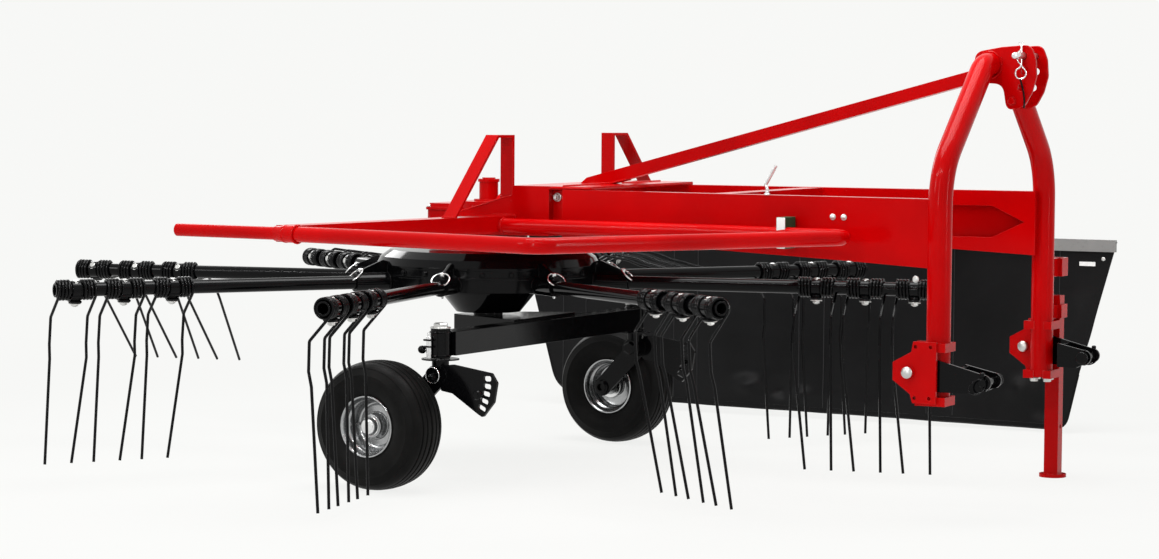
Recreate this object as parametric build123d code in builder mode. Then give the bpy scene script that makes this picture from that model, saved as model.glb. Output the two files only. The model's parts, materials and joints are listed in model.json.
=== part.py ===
"""Single-rotor rotary hay rake, mounted on a tractor's three-point linkage.

Millimetres, +X is the direction of travel, +Y the machine's left, +Z up, and the wheels
stand on z = 0. The origin is on the ground under the middle of the machine's overall box.
Heights are above the ground; other places are measured from the rotor's upright axis.
"""
from build123d import *
from math import cos, sin, radians
import os

os.makedirs("parts", exist_ok=True)

# The rotor's axis, from the origin
rotor_x, rotor_y = -173.5, -125.2

# Rotor: eight tine arms plugged into the sockets of a hub under a wide drum
arm_count, arm_pitch = 8, 45.0
first_arm_angle = -35.0
arm_height, arm_tube_r, arm_bore_r = 562.0, 20.0, 15.0
arm_inner_r, arm_outer_r = 232.0, 1370.0
socket_r, socket_inner, socket_outer = 27.0, 118.0, 445.0
drum_r, drum_wall, skirt_low, skirt_high, drum_top = 336.0, 8.0, 540.0, 612.0, 672.0
rib, rib_out = 7.0, 3.0
barrel_r, pot_low, pot_low_r = 148.0, 465.0, 98.0
post_r, hub_bore_r = 44.0, 50.0
gusset, gusset_high = 8.0, 636.0

# Spring tines: places of each double tine along the arm, and the bent wire
pair_places = (1018.0, 1164.0, 1310.0)
coil_offset, coil_length, coil_r, holder_r = 33.5, 45.0, 31.0, 25.0
wire_across = 9.4

# Running gear: the axle stands a little out of square, and each wheel trails its kingpin
axle_x, kingpin_y, axle_turn = 192.0, 590.0, -2.3
beam_size, beam_low = 68.0, 380.0
kingpin_tube_r, kingpin_tube_low, kingpin_tube_high = 28.0, 374.0, 458.0
caster_turn, trail, wheel_offset = -5.0, 131.0, 116.0
tyre_r, tyre_width, rim_r, rim_width, axle_r = 185.0, 155.0, 88.0, 118.0, 14.0
pivot_height, sector_r = 320.0, 178.0

# Headstock, boom and brace
leg_x, leg_y, leg_r = 1606.0, 446.0, 32.5
leg_low = 306.0
leg_route, leg_bends = ((leg_y, 924.0), (112.0, 1210.0), (30.0, 1218.0)), (200.0, 90.0)
side_front_x, side_front_y = 1596.0, 436.0
side_rear_x, side_rear_y = 431.0, 357.0
side_top, side_depth = 851.0, 40.0
wall = 8.0
plate = 12.0

# Console and gearbox behind the boom
console_rear, console_front, console_y = 60.0, 385.0, 350.0
console_low, console_high = 716.0, 860.0
housing_r, input_z, neck_r, neck_start, neck_end, input_r = 88.0, 776.0, 48.0, 45.0, 400.0, 17.4

# Guard, tine racks and swath curtain
guard_z, guard_r, guard_bend = 746.0, 21.0, 60.0
curtain_y, curtain_low, curtain_high = 1660.0, 42.0, 652.0
carrier_x, carrier_z, carrier_size, carrier_inner = 920.0, 824.0, 40.0, 120.0

# Parking stand
stand_x, stand_y, stand_size, stand_top, foot_r, foot = 1616.0, 540.0, 42.0, 540.0, 40.0, 10.0


def level(z=0.0, x=0.0, y=0.0):
    """Horizontal plane at height z, its origin x ahead and y to the left of the rotor axis."""
    return Plane((rotor_x + x, rotor_y + y, z))


def upright(y=0.0, x=0.0):
    """Fore-and-aft vertical plane: local x is forward, local y is the height."""
    return Plane((rotor_x + x, rotor_y + y, 0), x_dir=(1, 0, 0), z_dir=(0, -1, 0))


def across(x=0.0, y=0.0):
    """Vertical plane across the machine: local x is to the left, local y is the height."""
    return Plane((rotor_x + x, rotor_y + y, 0), x_dir=(0, 1, 0), z_dir=(1, 0, 0))


def turned(degrees, x, y):
    """Where a point lands when it is turned about the origin."""
    angle = radians(degrees)
    return x * cos(angle) - y * sin(angle), x * sin(angle) + y * cos(angle)


def swung(degrees, x=0.0, y=0.0):
    """Horizontal ground plane at a place, its axes turned from straight ahead."""
    angle = radians(degrees)
    return Plane((rotor_x + x, rotor_y + y, 0), x_dir=(cos(angle), sin(angle), 0), z_dir=(0, 0, 1))


def save(piece, name):
    piece.part.label = name
    export_step(piece.part, f"parts/{name}.step")


sides = (("right", -1), ("left", 1))


# ---------------------------------------------------------------- headstock
# Each leg is a bent tube, cut off flat where it is welded to an ear of the top link bracket
ear_y, ear_hole_r = 52.0, 9.8
legs = []
for side, way in sides:
    with BuildPart() as leg:
        with BuildLine(across(leg_x)) as leg_path:
            FilletPolyline((way * leg_y, leg_low), *((way * y, z) for y, z in leg_route), radius=leg_bends)
        with BuildSketch(level(leg_low, leg_x, way * leg_y)):
            Circle(leg_r)
        sweep(path=leg_path.line)
        with BuildSketch(level(leg_route[-1][1], leg_x)):
            Rectangle(2 * leg_r + 10, 2 * ear_y + plate)
        extrude(amount=2 * leg_r, both=True, mode=Mode.SUBTRACT)
    legs.append(leg.part)
    save(leg, f"{side}_headstock_leg")

# Top link bracket: two ears with a choice of pin holes, and a block between them that seats the brace
ear_holes = ((1701.0, 1238.0), (1705.0, 1196.0), (1697.0, 1151.0))
ear_outline = ((1556, 1165), (1560, 1247), (1723, 1269), (1740, 1185), (1709, 1100), (1653, 1086), (1642, 1165))
with BuildPart() as top_bracket:
    for way in (-1, 1):
        with BuildSketch(upright(way * ear_y + plate / 2)):
            with BuildLine():
                FilletPolyline(*ear_outline, radius=24, close=True)
            make_face()
            with Locations(*ear_holes):
                Circle(ear_hole_r, mode=Mode.SUBTRACT)
        extrude(amount=plate)
    with BuildSketch(upright(ear_y - plate / 2)):
        with Locations((1600, 1210)):
            Rectangle(70, 56)
    extrude(amount=2 * ear_y - plate)
save(top_bracket, "top_link_bracket")

# The pin stands in the upper hole, its collar against the left ear
top_pin_r, pin_proud, collar_r, collar = 9.5, 40.0, 15.0, 10.0
with BuildPart() as top_pin:
    with BuildSketch(upright(ear_y + pin_proud)):
        with Locations(ear_holes[0]):
            Circle(top_pin_r)
    extrude(amount=2 * (ear_y + pin_proud) + collar)
    with BuildSketch(upright(ear_y + plate / 2 + collar)):
        with Locations(ear_holes[0]):
            Circle(collar_r)
    extrude(amount=collar)
save(top_pin, "top_link_pin")

# Lower hitch: blocks round the leg carry two red plates on its outer side, and a bolt through both
# is the pivot of a black link bracket that ends in a fork ahead of the leg and floats upward.
# Offsets run from the leg's axis outward
pivot_x, pivot_z, pivot_r, bolt_head, head_r = 1545.0, 391.0, 10.0, 12.0, 17.0
hitch_pin_x, hitch_pin_z, hitch_hole_r, boss_r = 1748.0, 371.0, 11.2, 21.0
inner_plate, outer_plate = (24.0, 32.0), (51.5, 61.5)
cheek_offset, cheek, web_x, web_low, web_high = 38.0, 8.0, 1676.0, 341.0, 406.0
nosed_plate = ((1500, 369), (1500, 417), (1552, 446), (1557, 474), (1622, 474), (1622, 309), (1556, 309), (1549, 333))
nose = ((1500, 369), (1500, 417), (1552, 446), (1557, 474), (leg_x, 474), (leg_x, 309), (1556, 309), (1549, 333))
plate_bolts = ((1564, 460), (1606, 460), (1562, 323), (1603, 323))
outer_cheek = ((pivot_x - 22, 410), (pivot_x - 22, 374), (1600, 340), (1726, 340), (hitch_pin_x, 350),
               (hitch_pin_x, 392), (1618, 426), (1580, 426))
inner_cheek = ((web_x - cheek, 340), (1726, 340), (hitch_pin_x, 350), (hitch_pin_x, 392), (web_x - cheek, 410))
for side, way in sides:
    with BuildPart() as hitch:
        for outline, holes, (inner, outer) in ((nosed_plate, plate_bolts, outer_plate), (nose, (), inner_plate)):
            with BuildSketch(upright(way * (leg_y + outer))):
                with BuildLine():
                    Polyline(*outline, close=True)
                make_face()
                if holes:
                    with Locations(*holes):
                        Circle(5, mode=Mode.SUBTRACT)
            extrude(amount=way * (outer - inner))
        for low, high in ((302, 326), (446, 470)):
            with BuildSketch(level(low, leg_x - 4, way * (leg_y + 11))):
                Rectangle(84, 81)
            extrude(amount=high - low)
        with BuildSketch(level(leg_low - 10, leg_x, way * leg_y)):
            Circle(leg_r)
        extrude(amount=200, mode=Mode.SUBTRACT)
        with BuildSketch(upright(way * (leg_y + outer_plate[1]))):
            with Locations((pivot_x, pivot_z)):
                Circle(pivot_r)
        extrude(amount=way * (outer_plate[1] - inner_plate[0]))
        for outer in (outer_plate[1] + bolt_head, inner_plate[0]):
            with BuildSketch(upright(way * (leg_y + outer))):
                with Locations((pivot_x, pivot_z)):
                    RegularPolygon(head_r, 6)
            extrude(amount=way * bolt_head)
    save(hitch, f"{side}_hitch_bracket")

    with BuildPart() as link:
        for outline, offset in ((outer_cheek, cheek_offset), (inner_cheek, -cheek_offset - cheek)):
            with BuildSketch(upright(way * (leg_y + offset + cheek))):
                with BuildLine():
                    Polyline(*outline, close=True)
                make_face()
                with Locations((hitch_pin_x, hitch_pin_z)):
                    Circle(boss_r)
                    Circle(hitch_hole_r, mode=Mode.SUBTRACT)
                with Locations((pivot_x, pivot_z)):
                    Circle(pivot_r + 0.05, mode=Mode.SUBTRACT)
            extrude(amount=way * cheek)
        with BuildSketch(level(web_low, web_x, way * leg_y)):
            Rectangle(cheek, 2 * cheek_offset)
        extrude(amount=web_high - web_low)
    save(link, f"{side}_link_bracket")

# ---------------------------------------------------------------- boom
# Each side member is a closed box folded from plate, with a long pointed hand hole in its inner wall
# and a narrow neck behind, whose end plate is bolted to the console
side_foot = ((side_front_x, 664), (1300, 679), (900, 696), (side_rear_x, 714))
hand_hole = ((549, 760), (659, 806), (1039, 806), (1135, 760), (1039, 714), (659, 714))
neck_y, neck_width, neck_low, neck_high = 292.0, 30.0, 718.0, 848.0
members = []
for (side, way), leg_part in zip(sides, legs):
    rear_inner = Vector(rotor_x + side_rear_x, rotor_y + way * (side_rear_y - side_depth), 0)
    run = Vector(side_front_x - side_rear_x, way * (side_front_y - side_rear_y), 0).normalized()
    with BuildPart() as member:
        for skin, front, mode in ((0, 0, Mode.ADD), (wall, 22, Mode.SUBTRACT)):
            with BuildPart(mode=mode):
                with BuildSketch(upright(0)):
                    with BuildLine():
                        Polyline((side_rear_x + skin, side_top - skin), (side_front_x - front, side_top - skin),
                                 (side_front_x - front, side_foot[0][1] + skin),
                                 *((x, z + skin) for x, z in side_foot[1:3]),
                                 (side_rear_x + skin, side_foot[3][1] + skin), close=True)
                    make_face()
                extrude(amount=600, both=True)
                with BuildSketch(level(side_top + 50)):
                    with BuildLine():
                        Polyline((side_rear_x, way * (side_rear_y - skin)), (side_front_x, way * (side_front_y - skin)),
                                 (side_front_x, way * (side_front_y - side_depth + skin)),
                                 (side_rear_x, way * (side_rear_y - side_depth + skin)), close=True)
                    make_face()
                extrude(amount=-300, mode=Mode.INTERSECT)
        with BuildSketch(Plane(rear_inner, x_dir=run, z_dir=run.cross(Vector(0, 0, 1)))):
            with BuildLine():
                Polyline(*hand_hole, close=True)
            make_face()
        extrude(amount=wall + 2, both=True, mode=Mode.SUBTRACT)
        add(leg_part, mode=Mode.SUBTRACT)
        with BuildSketch(level(neck_low, (console_front + side_rear_x) / 2, way * (neck_y + neck_width / 2))):
            Rectangle(side_rear_x - console_front, neck_width)
        extrude(amount=neck_high - neck_low)
        if way > 0:
            with BuildSketch(upright(side_rear_y - 100)):
                with Locations((carrier_x, carrier_z)):
                    Rectangle(carrier_size + 6, carrier_size + 6)
            extrude(amount=-200, mode=Mode.SUBTRACT)
    members.append(member.part)
    save(member, f"{side}_boom_member")

# Console: a box open at the back, cut out round the gearbox's housing and neck
console_profile = ((console_rear, console_low), (console_rear, 771), (265, 832), (265, console_high),
                   (console_front, console_high), (console_front, console_low))
console_inside = ((console_rear - 20, console_low + wall), (console_rear - 20, 757), (273, 826),
                  (273, console_high - wall), (console_front - plate, console_high - wall),
                  (console_front - plate, console_low + wall))
with BuildPart() as console:
    with BuildSketch(upright(0)):
        with BuildLine():
            Polyline(*console_profile, close=True)
        make_face()
    extrude(amount=console_y, both=True)
    console_block = console.part
    with BuildSketch(upright(0)):
        with BuildLine():
            Polyline(*console_inside, close=True)
        make_face()
    extrude(amount=console_y - wall, both=True, mode=Mode.SUBTRACT)
    with BuildSketch(level(console_low)):
        Circle(housing_r)
    extrude(amount=100, mode=Mode.SUBTRACT)
    with BuildSketch(across(console_front)):
        with Locations((0, input_z)):
            Circle(neck_r)
    extrude(amount=console_rear - console_front, mode=Mode.SUBTRACT)
save(console, "gearbox_console")

# Gearbox: bottom flange, round housing, ribbed lid at the back and the neck of the input shaft
lid_x, lid_length, lid_width = -124.0, 110.0, 150.0
with BuildPart() as gearbox:
    with BuildSketch(level(690)):
        Circle(118)
    extrude(amount=console_low - 690)
    with BuildSketch(level(console_low)):
        Circle(housing_r)
    extrude(amount=84)
    with BuildSketch(level(800)):
        Circle(45)
    extrude(amount=6)
    for low, high, grow in ((700, 772, 0), (772, 780, 8), (780, 792, -8)):
        with BuildSketch(level(low, lid_x)):
            RectangleRounded(lid_length + grow, lid_width + grow, 22)
        extrude(amount=high - low)
    with BuildSketch(across(neck_start)):
        with Locations((0, input_z)):
            Circle(neck_r)
    extrude(amount=neck_end - neck_start)
save(gearbox, "gearbox")

with BuildPart() as spindle:
    for low, high, across_r in ((806, 858, 29), (858, 867, 33), (867, 871, 20)):
        with BuildSketch(level(low)):
            Circle(across_r)
        extrude(amount=high - low)
save(spindle, "height_spindle")

with BuildPart() as input_shaft:
    with BuildSketch(across(neck_end + 0.5)):
        with Locations((0, input_z)):
            Circle(input_r)
    extrude(amount=92)
save(input_shaft, "input_shaft")

# The brace runs from a plate across the boom's rear end up to the block between the headstock's ears
brace_width = 36.0
with BuildPart() as brace:
    with BuildSketch(upright(-brace_width / 2)):
        with BuildLine():
            Polyline((320, console_high), (420, console_high), (1565, 1168), (1565, 1205), (340, 877), close=True)
        make_face()
    extrude(amount=-brace_width)
save(brace, "boom_brace")

cross_front = 520.0
with BuildPart() as cross_plate:
    with BuildSketch(level(side_top, (console_front + cross_front) / 2)):
        Rectangle(cross_front - console_front, 2 * (side_rear_y - 6))
    extrude(amount=console_high - side_top)
    add(brace.part, mode=Mode.SUBTRACT)
save(cross_plate, "boom_cross_plate")

# ---------------------------------------------------------------- side arms and tine racks
# A tapered box arm leaves the console on each side: both carry a rack, the right one also the guard.
# Slant is how far each arm trails for a millimetre outward
arm_root_x, arm_root_z = 240.0, 751.0
rack_width, rack_inner, rack_bar = 48.0, 334.0, 8.0
rack_outline = ((0, 808), (0, 1006), (70, 1006), (253, 768), (243, 768), (66, 1006 - rack_bar), (rack_bar, 1006 - rack_bar),
                (rack_bar, 808))
side_arms = (("right", -1, 0.262, 836.0, guard_z, 45.0), ("left", 1, -0.25, 330.0, 748.0, 42.0))
extension_r = 17.5
extension_start, extension_end = (Vector(rotor_x + x, rotor_y + y, guard_z) for x, y in ((14, -1189.5), (-350, -1150)))
for side, way, slant, reach, tip_z, tip_height in side_arms:
    with BuildPart() as side_arm:
        with BuildSketch(upright(way * (console_y + 0.5))):
            with Locations((arm_root_x, arm_root_z)):
                Rectangle(70, 46)
        with BuildSketch(upright(way * (console_y + reach))):
            with Locations((arm_root_x - slant * reach, tip_z)):
                Rectangle(60, tip_height)
        loft()
        if way < 0:
            collar_start = Vector(rotor_x + 24, rotor_y - 1191, guard_z)
            guard_run = Vector(870, -210, 0).normalized()
            with BuildSketch(Plane(collar_start, z_dir=guard_run)):
                Circle(guard_r + 2.5)
            extrude(amount=45)
            with BuildSketch(Plane(collar_start - guard_run * 30, z_dir=guard_run)):
                Circle(guard_r + 0.05)
            extrude(amount=130, mode=Mode.SUBTRACT)
            with BuildSketch(Plane(extension_start, z_dir=extension_end - extension_start)):
                Circle(extension_r + 0.05)
            extrude(amount=60, mode=Mode.SUBTRACT)
    save(side_arm, f"{side}_side_arm")

    out = Vector(-slant, way, 0).normalized()
    rack_plane = Plane((rotor_x + arm_root_x + slant * (console_y - rack_inner), rotor_y + way * rack_inner, 0),
                       x_dir=out, z_dir=out.cross(Vector(0, 0, 1)))
    with BuildPart() as rack:
        with BuildSketch(rack_plane):
            with BuildLine():
                Polyline(*rack_outline, close=True)
            make_face()
        extrude(amount=rack_width / 2, both=True)
        add(console_block, mode=Mode.SUBTRACT)
        add(side_arm.part, mode=Mode.SUBTRACT)
    save(rack, f"{side}_tine_rack")

# ---------------------------------------------------------------- guard
# The loop's front end butts against the slanted face of the side arm
guard_route = ((20, -1190), (890, -1400), (1400, -500), (900, -432), (230, -397))
arm_face = ((275.0, -350.5), (208.1, -600.0), (100.0, -600.0), (100.0, -350.5))
with BuildPart() as guard_loop:
    with BuildLine(level(guard_z)) as guard_path:
        FilletPolyline(*guard_route, radius=guard_bend)
    with BuildSketch(Plane(guard_path.line @ 0, z_dir=guard_path.line % 0)):
        Circle(guard_r)
    sweep(path=guard_path.line)
    with BuildSketch(level(guard_z)):
        with BuildLine():
            Polyline(*arm_face, close=True)
        make_face()
    extrude(amount=2 * guard_r, both=True, mode=Mode.SUBTRACT)
save(guard_loop, "side_guard_loop")

# A thinner tube is telescoped into the rear end of the loop
with BuildPart() as guard_end:
    with BuildSketch(Plane(extension_start, z_dir=extension_end - extension_start)):
        Circle(extension_r)
    extrude(amount=(extension_end - extension_start).length)
save(guard_end, "guard_extension")

# ---------------------------------------------------------------- swath curtain
# A square tube slides through a sleeve across the boom and carries the rail that the curtain hangs on
sleeve_y = 354.0
with BuildPart() as sleeve:
    with BuildSketch(upright(-sleeve_y)):
        with Locations((carrier_x, carrier_z)):
            Rectangle(carrier_size + 12, carrier_size + 12)
            Rectangle(carrier_size + 2, carrier_size + 2, mode=Mode.SUBTRACT)
    extrude(amount=-2 * sleeve_y)
    for member_part in members:
        add(member_part, mode=Mode.SUBTRACT)
save(sleeve, "curtain_sleeve")

with BuildPart() as carrier:
    with BuildSketch(upright(-carrier_inner)):
        with Locations((carrier_x, carrier_z)):
            Rectangle(carrier_size, carrier_size)
    extrude(amount=-(curtain_y - 24 + carrier_inner))
    with BuildSketch(upright(curtain_y - 24)):
        with BuildLine():
            Polyline((carrier_x - 45, carrier_z + 20), (carrier_x + 45, carrier_z + 20), (carrier_x + 45, 700),
                     (carrier_x + 20, 617), (carrier_x - 20, 617), (carrier_x - 45, 700), close=True)
        make_face()
    extrude(amount=-10)
save(carrier, "curtain_carrier")

rail_x, rail_end = -780.0, 1470.0
with BuildPart() as rail:
    with BuildSketch(across(rail_x)):
        with Locations((curtain_y - 8, curtain_high - 18)):
            Rectangle(12, 40)
    extrude(amount=rail_end - rail_x)
save(rail, "curtain_rail")

with BuildPart() as curtain:
    with BuildSketch(upright(curtain_y - 1.5)):
        with BuildLine():
            FilletPolyline((rail_x, curtain_high), (rail_end, curtain_high), (1320, curtain_low), (-620, curtain_low),
                           radius=15, close=True)
        make_face()
    extrude(amount=-4)
save(curtain, "swath_curtain")

# ---------------------------------------------------------------- axle
axle_plane = swung(axle_turn)
with BuildPart() as beam:
    with BuildSketch(axle_plane.offset(beam_low)):
        with Locations((axle_x, 0)):
            Rectangle(beam_size, 2 * (kingpin_y - kingpin_tube_r))
    extrude(amount=beam_size)
    with BuildSketch(axle_plane.offset(kingpin_tube_low)):
        with Locations((axle_x, -kingpin_y), (axle_x, kingpin_y)):
            Circle(kingpin_tube_r)
    extrude(amount=kingpin_tube_high - kingpin_tube_low)
save(beam, "axle_beam")

# Axle bracket: a tapered plate on the beam, boxed in below, with the fixed post the rotor turns on
bracket_rear, bracket_front, bracket_low, bracket_top = -85.0, 195.0, 392.0, 457.0
bracket_rear_y, bracket_front_y, bracket_plate = 60.0, 200.0, 9.0
with BuildPart() as post:
    with BuildSketch(level(bracket_low)):
        with BuildLine():
            Polyline((bracket_rear, -bracket_rear_y), (bracket_front, -bracket_front_y),
                     (bracket_front, bracket_front_y), (bracket_rear, bracket_rear_y), close=True)
        make_face()
    extrude(amount=bracket_top - bracket_low)
    with BuildSketch(level(bracket_low)):
        with BuildLine():
            Polyline((bracket_rear + wall, wall - bracket_rear_y), (bracket_front, 10 - bracket_front_y),
                     (bracket_front, bracket_front_y - 10), (bracket_rear + wall, bracket_rear_y - wall), close=True)
        make_face()
    extrude(amount=beam_low + beam_size - bracket_low, mode=Mode.SUBTRACT)
    with BuildSketch(axle_plane.offset(bracket_low)):
        with Locations((axle_x + 100, 0)):
            Rectangle(beam_size + 200, 2 * kingpin_y)
    extrude(amount=beam_low + beam_size - bracket_low, mode=Mode.SUBTRACT)
    with BuildSketch(level(bracket_top)):
        Circle(post_r)
    extrude(amount=690 - bracket_top - 1)
save(post, "rotor_post")

# ---------------------------------------------------------------- casters and wheels
# A knuckle hangs from each kingpin; the wheel's arm hinges on its cross pin, and is one plate with a
# slotted sector ahead of the pin that locks it at a working height
knuckle_r, cross_r, cross_inner, cross_outer = 24.5, 30.0, -22.0, 28.0
arm_in, arm_plate, arm_boss_r, hub_boss_r = 18.0, 10.0, 34.0, 28.0
sector_outline = ((20, 356), (60, 360), (192, 342), (210, 316), (200, 260), (163, 216), (146, 225), (60, 278), (20, 284))
slot_angles = (2.0, -5.0, -12.0, -19.0, -26.0)
for side, way in sides:
    kingpin = turned(axle_turn, axle_x, way * kingpin_y)
    ground = swung(caster_turn, *kingpin)
    along = Plane(ground.origin, x_dir=ground.x_dir, z_dir=-ground.y_dir)
    with BuildPart() as caster:
        with BuildSketch(ground.offset(pivot_height)):
            Circle(knuckle_r)
        extrude(amount=kingpin_tube_low - 1 - pivot_height)
        with BuildSketch(ground.offset(kingpin_tube_low - 5)):
            Circle(54)
        extrude(amount=4)
        with BuildSketch(along.offset(-way * cross_inner)):
            with Locations((0, pivot_height)):
                Circle(cross_r)
        extrude(amount=-way * (cross_outer - cross_inner))
        with BuildSketch(along.offset(-way * (arm_in + arm_plate))):
            with Locations((0, pivot_height)):
                Circle(arm_boss_r)
            with BuildLine():
                FilletPolyline(*sector_outline, radius=7, close=True)
            make_face()
            for angle in slot_angles:
                reach_x, reach_z = turned(angle, sector_r, 0)
                with Locations((reach_x, pivot_height + reach_z)):
                    RectangleRounded(26, 15, 6, rotation=angle, mode=Mode.SUBTRACT)
            with BuildLine():
                Polyline((-12, pivot_height + 31), (-trail - 22, tyre_r + 18), (-trail + 16, tyre_r - 23),
                         (20, pivot_height - 27), close=True)
            make_face()
            with Locations((-trail, tyre_r)):
                Circle(hub_boss_r)
        extrude(amount=way * arm_plate)
        with BuildSketch(along.offset(-way * arm_in)):
            with Locations((-trail, tyre_r)):
                Circle(axle_r)
        extrude(amount=-way * 150)
        with BuildSketch(along.offset(-way * (arm_in + arm_plate))):
            with Locations((0, pivot_height)):
                Circle(13)
        extrude(amount=-way * 14)
    save(caster, f"{side}_caster")

    # Rim and tyre are turned about the wheel's axle: local x runs out along the axle, local y is radial
    wheel_centre = along.from_local_coords(Vector(-trail, tyre_r, -way * wheel_offset))
    axle_axis = Axis(wheel_centre, ground.y_dir * way)
    radial = Plane(wheel_centre, x_dir=ground.y_dir * way, z_dir=ground.x_dir * way)
    half = rim_width / 2
    with BuildPart() as rim:
        with BuildSketch(radial):
            with BuildLine():
                Polyline((-half, rim_r), (-40, rim_r), (-30, 76), (30, 76), (40, rim_r), (half, rim_r), (half, 82), (43, 82),
                         (33, 70), (-2, 70), (-14, 40), (36, 40), (40, 36), (40, axle_r + 1), (-46, axle_r + 1),
                         (-46, 32), (-24, 34), (-12, 70), (-33, 70), (-43, 82), (-half, 82), close=True)
            make_face()
        revolve(axis=axle_axis)
    save(rim, f"{side}_rim")

    belly = tyre_width / 2
    with BuildPart() as tyre:
        with BuildSketch(radial):
            with BuildLine():
                Polyline((-52, rim_r), (-62, 96), (-73, 112), (-belly, 134), (-75, 154), (-66, 170), (-52, 179),
                         (-30, 184), (0, tyre_r), (30, 184), (52, 179), (66, 170), (75, 154), (belly, 134),
                         (73, 112), (62, 96), (52, rim_r), close=True)
            make_face()
        revolve(axis=axle_axis)
    save(tyre, f"{side}_tyre")

# ---------------------------------------------------------------- parking stand
guide_wall = 7.0
with BuildPart() as stand_guides:
    for low, high in ((474, 514), (598, 652)):
        with BuildSketch(level(low, stand_x, stand_y)):
            Rectangle(stand_size + 2 * guide_wall, stand_size + 2 * guide_wall)
            with Locations((0, -40)):
                Rectangle(30, 44)
            Rectangle(stand_size + 2, stand_size + 2, mode=Mode.SUBTRACT)
            with Locations((leg_x - stand_x, leg_y - stand_y)):
                Circle(leg_r, mode=Mode.SUBTRACT)
        extrude(amount=high - low)
save(stand_guides, "stand_guides")

with BuildPart() as stand:
    with BuildSketch(level(foot, stand_x, stand_y)):
        Rectangle(stand_size, stand_size)
        Rectangle(stand_size - 8, stand_size - 8, mode=Mode.SUBTRACT)
    extrude(amount=stand_top - foot)
    with BuildSketch(level(0, stand_x, stand_y)):
        Circle(foot_r)
    extrude(amount=foot)
    with BuildSketch(across(stand_x)):
        with Locations((stand_y, 150)):
            Circle(7)
    extrude(amount=stand_size, mode=Mode.SUBTRACT)
save(stand, "parking_stand")

# ---------------------------------------------------------------- rotor
arm_angles = [radians(first_arm_angle + number * arm_pitch) for number in range(arm_count)]
hub_centre = Vector(rotor_x, rotor_y, arm_height)
with BuildPart() as hub:
    with BuildSketch(upright()):
        with BuildLine():
            Polyline((hub_bore_r, pot_low), (pot_low_r, pot_low), (barrel_r - 4, 522), (barrel_r, 528),
                     (barrel_r, skirt_high - 10), (drum_r - drum_wall, skirt_high - 10), (drum_r - drum_wall, skirt_low),
                     (drum_r, skirt_low), (drum_r, 578), (drum_r + rib_out, 578), (drum_r + rib_out, 578 + rib),
                     (drum_r, 578 + rib), (drum_r, skirt_high - rib), (drum_r + rib_out, skirt_high - rib),
                     (drum_r + rib_out, skirt_high), (326, 634), (298, 654), (120, drum_top), (hub_bore_r, drum_top),
                     close=True)
        make_face()
    revolve(axis=Axis((rotor_x, rotor_y, 0), (0, 0, 1)))
    for angle in arm_angles:
        out = Vector(cos(angle), sin(angle), 0)
        with BuildSketch(Plane(hub_centre + out * socket_inner, x_dir=(0, 0, 1), z_dir=out)):
            Circle(socket_r)
        extrude(amount=socket_outer - socket_inner)
        side_plane = Plane((rotor_x, rotor_y, 0), x_dir=out, z_dir=out.cross(Vector(0, 0, 1)))
        with BuildSketch(side_plane):
            with BuildLine():
                Polyline((drum_r - 4, arm_height + 10), (drum_r - 4, gusset_high - 14), (drum_r + 18, gusset_high - 8),
                         (socket_outer - 6, arm_height + socket_r + 4), (socket_outer - 6, arm_height + 10), close=True)
            make_face()
        extrude(amount=gusset / 2, both=True)
    for angle in arm_angles:
        out = Vector(cos(angle), sin(angle), 0)
        with BuildSketch(Plane(hub_centre + out * arm_inner_r, x_dir=(0, 0, 1), z_dir=out)):
            Circle(arm_tube_r)
        extrude(amount=socket_outer - arm_inner_r + 20, mode=Mode.SUBTRACT)
save(hub, "rotor_hub")

# The cam inside the hub turns each arm: lift is how far its tines trail behind straight down.
# Each wire leaves the far end of its coil trailing, bends down twice and splays outward to its tip.
# Columns: ahead of the arm, down from it, to each side of the pair's middle, and the splay
arm_lift = (0, 6, 0, 80, 80, 42, 4, 0)
wire_bends = ((12, 24, 51.5, 0), (-44, 92, 48.5, 0), (-44, 200, 47.5, 0), (-12, 536, 39.5, 24))
for number, angle in enumerate(arm_angles):
    out = Vector(cos(angle), sin(angle), 0)
    travel = Vector(-sin(angle), cos(angle), 0)
    with BuildPart() as arm:
        with BuildSketch(Plane(hub_centre + out * arm_inner_r, x_dir=travel, z_dir=out)):
            Circle(arm_tube_r)
            Circle(arm_bore_r, mode=Mode.SUBTRACT)
        extrude(amount=arm_outer_r - arm_inner_r)
    save(arm, f"tine_arm_{number + 1}")

    lift = radians(arm_lift[number])
    down = Vector(0, 0, -1) * cos(lift) - travel * sin(lift)
    ahead = Vector(0, 0, -1) * sin(lift) + travel * cos(lift)
    with BuildPart() as tines:
        for place in pair_places:
            for way in (-1, 1):
                coil_centre = hub_centre + out * (place + way * coil_offset)
                with BuildSketch(Plane(coil_centre, x_dir=ahead, z_dir=out)):
                    RegularPolygon(coil_r, 10)
                    Circle(arm_tube_r, mode=Mode.SUBTRACT)
                extrude(amount=coil_length / 2, both=True)
                points = [hub_centre + ahead * a + down * d + out * (place + way * aside + splay)
                          for a, d, aside, splay in wire_bends]
                with BuildLine() as wire_path:
                    Polyline(*points)
                with BuildSketch(Plane(points[0], x_dir=out, z_dir=(points[1] - points[0]))):
                    RegularPolygon(wire_across / 2, 6)
                sweep(path=wire_path.line, transition=Transition.RIGHT)
            with BuildSketch(Plane(hub_centre + out * place, x_dir=ahead, z_dir=out)):
                RegularPolygon(holder_r, 10)
                Circle(arm_tube_r, mode=Mode.SUBTRACT)
            extrude(amount=coil_offset - coil_length / 2 + 1, both=True)
    save(tines, f"spring_tines_{number + 1}")
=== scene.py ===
"""Looks of the single-rotor hay rake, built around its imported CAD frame.

Metres, in the frame's own axes: +X is the direction of travel, +Y the machine's left, +Z up.
mm() and Form work in millimetres from the point on the ground under the rotor's axis.
"""
import json
import random
from math import atan2, cos, pi, radians, sin, tan

import bpy
from mathutils import Matrix, Vector


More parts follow.
